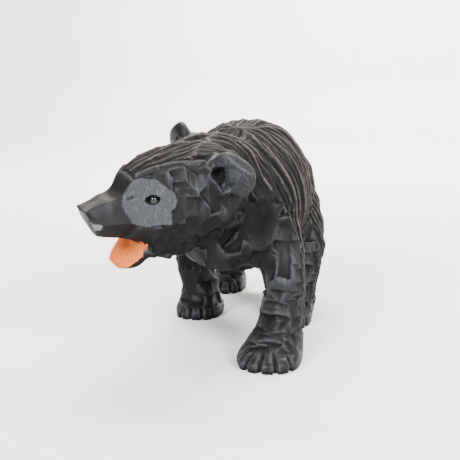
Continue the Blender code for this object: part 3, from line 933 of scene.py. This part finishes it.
def mark_surface(mesh, work):
    """Marks each point with what the stain shows there and where shade and light are painted, and finds the
    borders of the sharpest marks.
    """
    points, normals = surface(mesh)
    bulge = ((points - neighbour_mean(mesh, points)) * normals).sum(axis=1)
    bulge = (bulge + neighbour_mean(mesh, bulge)) / 2
    proud, within = on_eye_flat(head_coordinates(points))
    flat = smoothly(within * (1 - smoothly(abs(proud), 0.3, 0.8)), 0.3, 0.9)
    flat = (flat + neighbour_mean(mesh, flat)) / 2
    even, even_depth = points, work.depth
    for _ in range(10):
        even, even_depth = neighbour_mean(mesh, even), neighbour_mean(mesh, even_depth)
    broad = ((points - even) * normals).sum(axis=1)
    relief = even_depth - work.depth
    coat = work.coat
    crest = np.where(coat, smoothly(relief, 0.16, 0.4), (bulge - 0.012) / 0.05)
    # painted shade in the bottoms of the coat's grooves, in the creases between flat cuts and in broad
    # hollows
    bottom = np.where(coat, smoothly(0.1 - relief, 0, 0.25), (-bulge - 0.015) / 0.06)
    bottom = np.maximum(bottom, smoothly(-broad, 0.06, 0.35))
    marks = {
        "ridge": crest,
        # painted shade: the bottoms and hollows, with the neck valley, the eye sockets and the ear slits
        "hollow": np.maximum(bottom, work.dark),
        "mouth": mouth_places(points, normals),
        # the scratched flats round the eyes and the painted light on the ears, none where shade is painted
        "eye_flats_and_ear_light": np.maximum(flat, work.pale) * (1 - work.dark),
        # painted highlight on the lip
        "chip": work.chip,
        "coat": coat,
        # painted light from above: the more a face looks up, the more of the thin stain shows
        "painted_top_light": smoothly(normals[:, 2], 0.1, 0.9),
        # painted shade on the faces that look down
        "under": smoothly(-normals[:, 2], -0.12, 0.42),
    }
    for name, values in marks.items():
        attribute = mesh.attributes.new(name, "FLOAT", "POINT")
        attribute.data.foreach_set("value", np.clip(values, 0, 1).astype(np.float32))
    edges = np.zeros(len(points))
    for name in ("mouth", "eye_flats_and_ear_light", "chip"):
        values = np.clip(marks[name], 0, 1).astype(float)
        edges = np.maximum(edges, abs(values - neighbour_mean(mesh, values)))
    return edges > 0.01


def thin_out(obj, faces, kept):
    """Merges flat stretches until so many faces are left, and leaves the points to be kept alone."""
    group = obj.vertex_groups.new(name="thinned")
    group.add(np.flatnonzero(~kept).tolist(), 1, "REPLACE")
    triangles = sum(len(face.vertices) - 2 for face in obj.data.polygons)
    thin = obj.modifiers.new("thin", "DECIMATE")
    thin.ratio = min(1, faces / triangles)
    thin.vertex_group = group.name
    thin.vertex_group_factor = 1
    settle(obj)
    obj.vertex_groups.clear()


def frame_shift():
    """From the form's own place to where the solid stands, read from the two beads."""
    moves = []
    for node, side in (("left_eye_bead", 1), ("right_eye_bead", -1)):
        low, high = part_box(node)
        out = eye_flat_out(side).normalized()
        middle = in_head(EYE[0], side * EYE[1], EYE[2]) + out * (BEAD_SHOWS - BEAD_RADIUS)
        moves.append((low + high) / 2 / MILLIMETRE - middle)
    return (moves[0] + moves[1]) / 2


class CarvingSettings(bpy.types.PropertyGroup):
    """Sizes of the carving."""

    fineness: bpy.props.FloatProperty(
        name="Fineness", description="Spacing of the points that carry the carving",
        default=0.0005, unit="LENGTH",
    )
    lock_width: bpy.props.FloatProperty(
        name="Lock width", description="Width of a gouge stroke in the coat", default=0.0048, unit="LENGTH",
    )
    lock_depth: bpy.props.FloatProperty(
        name="Lock depth", description="Depth of a gouge stroke in the coat", default=0.0019, unit="LENGTH",
    )
    faces: bpy.props.IntProperty(
        name="Faces", description="Triangles kept in the carved bear", default=190000,
    )
    seed: bpy.props.IntProperty(
        name="Seed", description="Which of many alike carvings is made", default=7,
    )


class StainSettings(bpy.types.PropertyGroup):
    """Colours of the wood and the glass."""

    stain: bpy.props.FloatVectorProperty(
        name="Stain", description="The black stain where it is thick",
        default=linear("#0e0f11"), subtype="COLOR", size=4,
    )
    # This brown also carries the painted light on the tops
    thin_stain: bpy.props.FloatVectorProperty(
        name="Thin stain", description="The stain where the wood shows through",
        default=linear("#24211d"), subtype="COLOR", size=4,
    )
    worn: bpy.props.FloatVectorProperty(
        name="Worn edges", description="Ridges rubbed by hands",
        default=linear("#555148"), subtype="COLOR", size=4,
    )
    # This grey is also used for the painted light on the open faces of the ears
    flat: bpy.props.FloatVectorProperty(
        name="Eye flats", description="The scratched flats round the eyes",
        default=linear("#44474a"), subtype="COLOR", size=4,
    )
    mouth: bpy.props.FloatVectorProperty(
        name="Mouth", description="The painted inside of the lower jaw",
        default=linear("#d4692b"), subtype="COLOR", size=4,
    )
    glass: bpy.props.FloatVectorProperty(
        name="Bead glass", description="The black glass of the eyes",
        default=linear("#020202"), subtype="COLOR", size=4,
    )


class StageSettings(bpy.types.PropertyGroup):
    """The floor and the light."""

    floor: bpy.props.FloatVectorProperty(
        name="Floor", description="Colour of the plain floor",
        default=linear("#f8f7f4"), subtype="COLOR", size=4,
    )
    window_power: bpy.props.FloatProperty(
        name="Front light", description="Watts of the large front light", default=34, unit="POWER",
    )
    side_power: bpy.props.FloatProperty(
        name="Side light", description="Watts of the light at its left", default=26, unit="POWER",
    )
    top_power: bpy.props.FloatProperty(
        name="Top light", description="Watts of the light overhead", default=7, unit="POWER",
    )
    backdrop_power: bpy.props.FloatProperty(
        name="Backdrop light", description="Watts of the light on the backdrop", default=125, unit="POWER",
    )


def add_node(tree, kind, inputs=None, **settings):
    """Adds a node with its settings. Each input is a value, or another node's output to link."""
    made = tree.nodes.new(kind)
    for name, value in settings.items():
        setattr(made, name, value)
    for socket, value in (inputs or {}).items():
        if isinstance(value, bpy.types.NodeSocket):
            tree.links.new(value, made.inputs[socket])
        else:
            made.inputs[socket].default_value = value
    return made


def new_material(name):
    """A material with an empty node tree, its Principled shader and the shader's output."""
    material = bpy.data.materials.new(name)
    material.use_nodes = True
    tree = material.node_tree
    tree.nodes.clear()
    shader = add_node(tree, "ShaderNodeBsdfPrincipled")
    add_node(tree, "ShaderNodeOutputMaterial", {"Surface": shader.outputs["BSDF"]})
    return material, tree, shader


def stained_wood(colours):
    """Close-grained hardwood cut with knife and gouge, then stained black and rubbed with a little wax.

    The stain lets the grain show as faint streaks, the knife flats shine like silk, and the ridges are
    rubbed paler and browner than the cuts between them. Shade is painted into the hollows and on the
    undersides, and light onto the tops and into the ears.
    """
    material, tree, shader = new_material("black_stained_carved_wood")
    place = add_node(tree, "ShaderNodeTexCoord").outputs["Object"]
    # What the carving marked, and then each pattern, share and colour made below, by name
    shown = {
        name: add_node(tree, "ShaderNodeAttribute", attribute_name=name).outputs["Fac"]
        for name in ("ridge", "hollow", "mouth", "eye_flats_and_ear_light", "chip", "coat", "painted_top_light", "under")
    }

    def known(term):
        return shown[term] if isinstance(term, str) else term

    vectors = []
    for turn, scale in (((0, 0, 0), (1, 0.08, 1)), ((0.5, 0.3, 0.6), (1, 1, 0.3))):
        inputs = {"Vector": place, "Rotation": turn, "Scale": scale}
        vectors.append(add_node(tree, "ShaderNodeMapping", inputs).outputs["Vector"])
    along, slanted = vectors
    # Patterns: how many metres across, their detail and roughness
    for name, vector, size, detail, roughness in (
        # the grain runs along the bear, in streaks 0.9 mm across and about twelve times as long
        ("grain", along, 0.0009, 4, 0.6),
        # stain soaks in unevenly, in patches about 9 mm across
        ("patches", place, 0.009, 5, 0.65),
        # scuffs and stipple on the flats round the eyes are 0.5 mm across
        ("specks", place, 0.0005, 3, 0.7),
        # short pale scratches lie over them, 1.2 mm apart and a few millimetres long
        ("scratches", slanted, 0.0012, 3, 0.6),
    ):
        inputs = {"Vector": vector, "Scale": 1 / size, "Detail": detail, "Roughness": roughness}
        shown[name] = add_node(tree, "ShaderNodeTexNoise", inputs).outputs["Fac"]
    # Shares: from how much to how much of something, and what that turns to
    for name, source, *limits in (
        ("thin", "patches", 0.35, 0.75, 0, 1),
        ("streaks", "grain", 0.3, 0.7, 0.75, 1.3),
        ("rubbed", "patches", 0.3, 0.65, 0.55, 1),
        # edges of the flat cuts are rubbed less than the ridges of the coat
        ("rubbed_at", "coat", 0, 1, 0.28, 1),
        ("scuffed", "specks", 0.3, 0.7, 0.35, 0.8),
        ("scratched", "scratches", 0.56, 0.68, 0, 0.9),
        ("brushed", "grain", 0.35, 0.65, 0, 1),
        # knife flats are burnished by the blade
        ("rough", "patches", 0.3, 0.7, 0.27, 0.42),
    ):
        inputs = dict(zip(("Value", "From Min", "From Max", "To Min", "To Max"), (shown[source], *limits)))
        shown[name] = add_node(tree, "ShaderNodeMapRange", inputs).outputs["Result"]
    for name, operation, *terms in (
        # thin stain in patches, shown mostly on faces that look up: partly the wood's own patches, partly
        # painted light on the tops
        ("thin", "MULTIPLY_ADD", "thin", "painted_top_light", 0.15),
        ("rubbed", "MULTIPLY", "rubbed", "ridge"),
        ("rubbed", "MULTIPLY", "rubbed", "rubbed_at"),
        # where shade is painted: in hollows and on undersides
        ("deep", "MAXIMUM", "hollow", "under"),
        ("deep", "MULTIPLY", "deep", 0.9),
        ("flat", "ADD", "scuffed", "scratched"),
        # scuffs and scratches on the eye flats, and the painted light on the ears
        ("flat", "MULTIPLY", "flat", "eye_flats_and_ear_light"),
        # the coat's grooves and the bottoms of the cuts are rougher
        ("rough", "MULTIPLY_ADD", "coat", 0.2, "rough"),
        ("rough", "MULTIPLY_ADD", "specks", 0.12, "rough"),
        ("rough", "MULTIPLY_ADD", "deep", 0.3, "rough"),
    ):
        inputs = {i: known(term) for i, term in enumerate(terms)}
        shown[name] = add_node(tree, "ShaderNodeMath", inputs, operation=operation).outputs[0]
    # Colours: how one is laid over another, and where
    for name, blend, share, under, over in (
        # thin stain in patches, and the painted light on the tops
        ("wood", "MIX", "thin", tuple(colours.stain), tuple(colours.thin_stain)),
        ("wood", "MULTIPLY", 1, "wood", "streaks"),
        # rubbed edges stay grey on the flat cuts and turn brown on the coat
        ("worn", "MIX", "coat", linear("#5f6366"), tuple(colours.worn)),
        ("wood", "MIX", "rubbed", "wood", "worn"),
        # painted shade: near black in the bottoms of the cuts and grooves, in hollows, the neck valley, the
        # eye sockets and the ear slits, and on the undersides
        ("wood", "MIX", "deep", "wood", linear("#050505")),
        # the scratched eye flats, and the painted light on the ears
        ("wood", "MIX", "flat", "wood", tuple(colours.flat)),
        # painted highlight: the shallow chip cut on the lip is painted light grey
        ("wood", "MIX", "chip", "wood", linear("#5f6265")),
        # the paint in the mouth is brushed on thin, and the grain shows through it
        ("paint", "MIX", "brushed", tuple(colours.mouth), linear("#b05a2a")),
        ("wood", "MIX", "mouth", "wood", "paint"),
    ):
        inputs = {0: known(share), 6: known(under), 7: known(over)}
        shown[name] = add_node(tree, "ShaderNodeMix", inputs, data_type="RGBA", blend_type=blend).outputs[2]
    bumps = {"Strength": 0.25, "Distance": 0.0001, "Height": shown["grain"]}
    bumps = add_node(tree, "ShaderNodeBump", bumps).outputs["Normal"]
    bumps = {"Strength": 0.3, "Distance": 0.00012, "Height": shown["specks"], "Normal": bumps}
    bumps = add_node(tree, "ShaderNodeBump", bumps).outputs["Normal"]
    ends = {"Base Color": shown["wood"], "Roughness": shown["rough"], "Normal": bumps}
    for socket, source in ends.items():
        tree.links.new(source, shader.inputs[socket])
    # The thin wax reflects far less than a varnish would
    shader.inputs["Specular IOR Level"].default_value = 0.13
    return material


def bead_glass(colours):
    """Black glass beads, blown and fire-polished, which show sharp highlights."""
    material, tree, shader = new_material("black_bead_glass")
    place = add_node(tree, "ShaderNodeTexCoord").outputs["Object"]
    # Faint flow lines in the glass, 0.6 mm apart
    lines = {"Scale": 1 / 0.0006, "Detail": 2, "Vector": place}
    lines = add_node(tree, "ShaderNodeTexNoise", lines).outputs["Fac"]
    colour = {0: lines, 6: tuple(colours.glass), 7: linear("#060505")}
    colour = add_node(tree, "ShaderNodeMix", colour, data_type="RGBA").outputs[2]
    rough = {"Value": lines, "To Min": 0.04, "To Max": 0.08}
    rough = add_node(tree, "ShaderNodeMapRange", rough).outputs["Result"]
    tree.links.new(colour, shader.inputs["Base Color"])
    tree.links.new(rough, shader.inputs["Roughness"])
    shader.inputs["IOR"].default_value = 1.52
    return material


def backdrop_paper(settings):
    """Seamless background paper, uncoated and rolled out: nearly white and dull, with fibres 3 mm apart."""
    material, tree, shader = new_material("pale_paper_floor")
    place = add_node(tree, "ShaderNodeTexCoord").outputs["Object"]
    fibres = {"Scale": 1 / 0.003, "Detail": 3, "Vector": place}
    fibres = add_node(tree, "ShaderNodeTexNoise", fibres).outputs["Fac"]
    colour = {0: fibres, 6: tuple(settings.floor), 7: linear("#f3f2ee")}
    colour = add_node(tree, "ShaderNodeMix", colour, data_type="RGBA").outputs[2]
    tree.links.new(colour, shader.inputs["Base Color"])
    shader.inputs["Roughness"].default_value = 0.8
    return material


class CarveBear(bpy.types.Operator):
    """Carves the bear in one piece and stains it"""

    bl_idname = "carved_bear.carve"
    bl_label = "Carve the bear"

    def execute(self, context):
        settings = context.scene.carved_bear_carving
        chance = np.random.default_rng(settings.seed)
        obj = rough_form("bear_carving", settings.fineness / MILLIMETRE)
        points, normals = surface(obj.data)
        knife_planes(points, normals)
        put_back(obj.data, points)
        sweep_brow(obj.data)
        work = Surface(obj.data)
        take_ears(work)
        carve_cheeks(work, chance)
        carve_legs(work)
        carve_rest(work, chance)
        gouge_coat(work, chance, settings)
        strokes = eased_to(work, work.depth, ~work.coat)
        work.depth = np.maximum(strokes, eased_to(work, work.tile_depth, work.coat | work.bare | work.taken))
        carve_ears(work)
        carve_face(work)
        carve_valley(work)
        toe_cuts(work)
        put_back(obj.data, work.points - work.normals * work.depth[:, None])
        ease = obj.modifiers.new("ease", "SMOOTH")
        ease.factor = 0.3
        ease.iterations = 1
        settle(obj)
        level_soles(obj.data)
        thin_out(obj, settings.faces, mark_surface(obj.data, work))
        points, _ = surface(obj.data)
        low, high = (np.array(corner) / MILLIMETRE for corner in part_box("carved_bear"))
        points = np.clip(points + np.array(frame_shift()), low, high)
        put_back(obj.data, points * MILLIMETRE)
        obj.data.shade_smooth()
        obj.data.materials.clear()
        obj.data.materials.append(stained_wood(context.scene.carved_bear_stain))
        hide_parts("carved_bear")
        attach(obj, "root")
        return {"FINISHED"}


class SetEyes(bpy.types.Operator):
    """Sets a polished glass bead in each socket"""

    bl_idname = "carved_bear.eyes"
    bl_label = "Set the eyes"

    def execute(self, context):
        glass = bead_glass(context.scene.carved_bear_stain)
        for node, side in (("left_eye_bead", 1), ("right_eye_bead", -1)):
            low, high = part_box(node)
            radius = (high.x - low.x) / 2
            bm = bmesh.new()
            bmesh.ops.create_icosphere(bm, subdivisions=4, radius=radius * 0.995)
            out = eye_flat_out(side).normalized()
            for vert in bm.verts:
                # The back of the bead is drawn out a little towards its wire
                back = max(0, -vert.co.dot(out) / radius - 0.6)
                vert.co *= 1 - 0.35 * back
            bmesh.ops.translate(bm, verts=bm.verts, vec=(low + high) / 2)
            obj = new_object(node.replace("_bead", ""), bm)
            obj.data.shade_smooth()
            obj.data.materials.append(glass)
            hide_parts(node)
            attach(obj, "root")
        return {"FINISHED"}


class SetStage(bpy.types.Operator):
    """Lays the floor, hangs the lights and sets up the camera"""

    bl_idname = "carved_bear.stage"
    bl_label = "Set the stage"

    def execute(self, context):
        scene = context.scene
        settings = scene.carved_bear_stage
        bm = bmesh.new()
        profile = [(-3, 0), (1.1, 0), (1.5, 0.06), (1.72, 0.24), (1.8, 0.5), (1.8, 3)]
        rows = [[bm.verts.new((x, y, z)) for x in (-4, 4)] for y, z in profile]
        for near, far in zip(rows, rows[1:]):
            bm.faces.new((near[0], near[1], far[1], far[0]))
        floor = new_object("floor", bm)
        floor.data.shade_smooth()
        floor.data.materials.append(backdrop_paper(settings))
        # Each light's place and what it is turned to, its width and height, power and tint
        bear = (0, 0, 0.05)
        for name, spot, aim, size, power, tint in (
            ("front_window", (-0.35, -1.1, 0.7), bear, (0.55, 0.45), settings.window_power, "#f3f6fc"),
            ("side_window", (0.85, -0.75, 0.65), bear, (0.3, 0.36), settings.side_power, "#f3f6fc"),
            ("overhead", (0.1, 0.25, 1.2), bear, (1.0, 1.0), settings.top_power, "#fff3e2"),
            ("backdrop", (0, 0.75, 1.5), (0, 1.8, 0.1), (1.6, 0.6), settings.backdrop_power, "#fffaf2"),
        ):
            data = bpy.data.lights.new(name, "AREA")
            data.shape = "RECTANGLE"
            data.size, data.size_y = size
            data.energy = power
            data.color = linear(tint)[:3]
            light = bpy.data.objects.new(name, data)
            light.location = spot
            light.rotation_euler = (Vector(aim) - Vector(spot)).to_track_quat("-Z", "Y").to_euler()
            scene.collection.objects.link(light)
        world = bpy.data.worlds.new("studio")
        world.use_nodes = True
        sky = world.node_tree.nodes["Background"]
        sky.inputs["Color"].default_value = linear("#eef0f3")
        sky.inputs["Strength"].default_value = 0.35
        scene.world = world
        data = bpy.data.cameras.new("camera")
        data.sensor_width = CAMERA_SENSOR
        data.lens = CAMERA_LENS
        camera = bpy.data.objects.new("camera", data)
        camera.location = CAMERA_PLACE
        camera.rotation_euler = Vector(CAMERA_WAY).to_track_quat("-Z", "Y").to_euler()
        scene.collection.objects.link(camera)
        scene.camera = camera
        return {"FINISHED"}


class CarvedBearPanel(bpy.types.Panel):
    """Lists the settings and steps of the carved bear"""

    bl_idname = "VIEW3D_PT_carved_bear"
    bl_label = "Carved bear"
    bl_space_type = "VIEW_3D"
    bl_region_type = "UI"
    bl_category = "Carved bear"

    def draw(self, context):
        for group in ("carved_bear_carving", "carved_bear_stain", "carved_bear_stage"):
            settings = getattr(context.scene, group)
            box = self.layout.box()
            for name in type(settings).__annotations__:
                box.prop(settings, name)
        for operator in OPERATORS:
            self.layout.operator(operator.bl_idname)


OPERATORS = (CarveBear, SetEyes, SetStage)
GROUPS = {
    "carved_bear_carving": CarvingSettings,
    "carved_bear_stain": StainSettings,
    "carved_bear_stage": StageSettings,
}


def register():
    for cls in (*GROUPS.values(), *OPERATORS, CarvedBearPanel):
        bpy.utils.register_class(cls)
    for name, cls in GROUPS.items():
        setattr(bpy.types.Scene, name, bpy.props.PointerProperty(type=cls))


def unregister():
    for name in GROUPS:
        delattr(bpy.types.Scene, name)
    for cls in (CarvedBearPanel, *reversed(OPERATORS), *GROUPS.values()):
        bpy.utils.unregister_class(cls)


def main():
    register()
    bpy.ops.carved_bear.stage()
    bpy.ops.carved_bear.carve()
    bpy.ops.carved_bear.eyes()


if __name__ == "__main__":
    main()
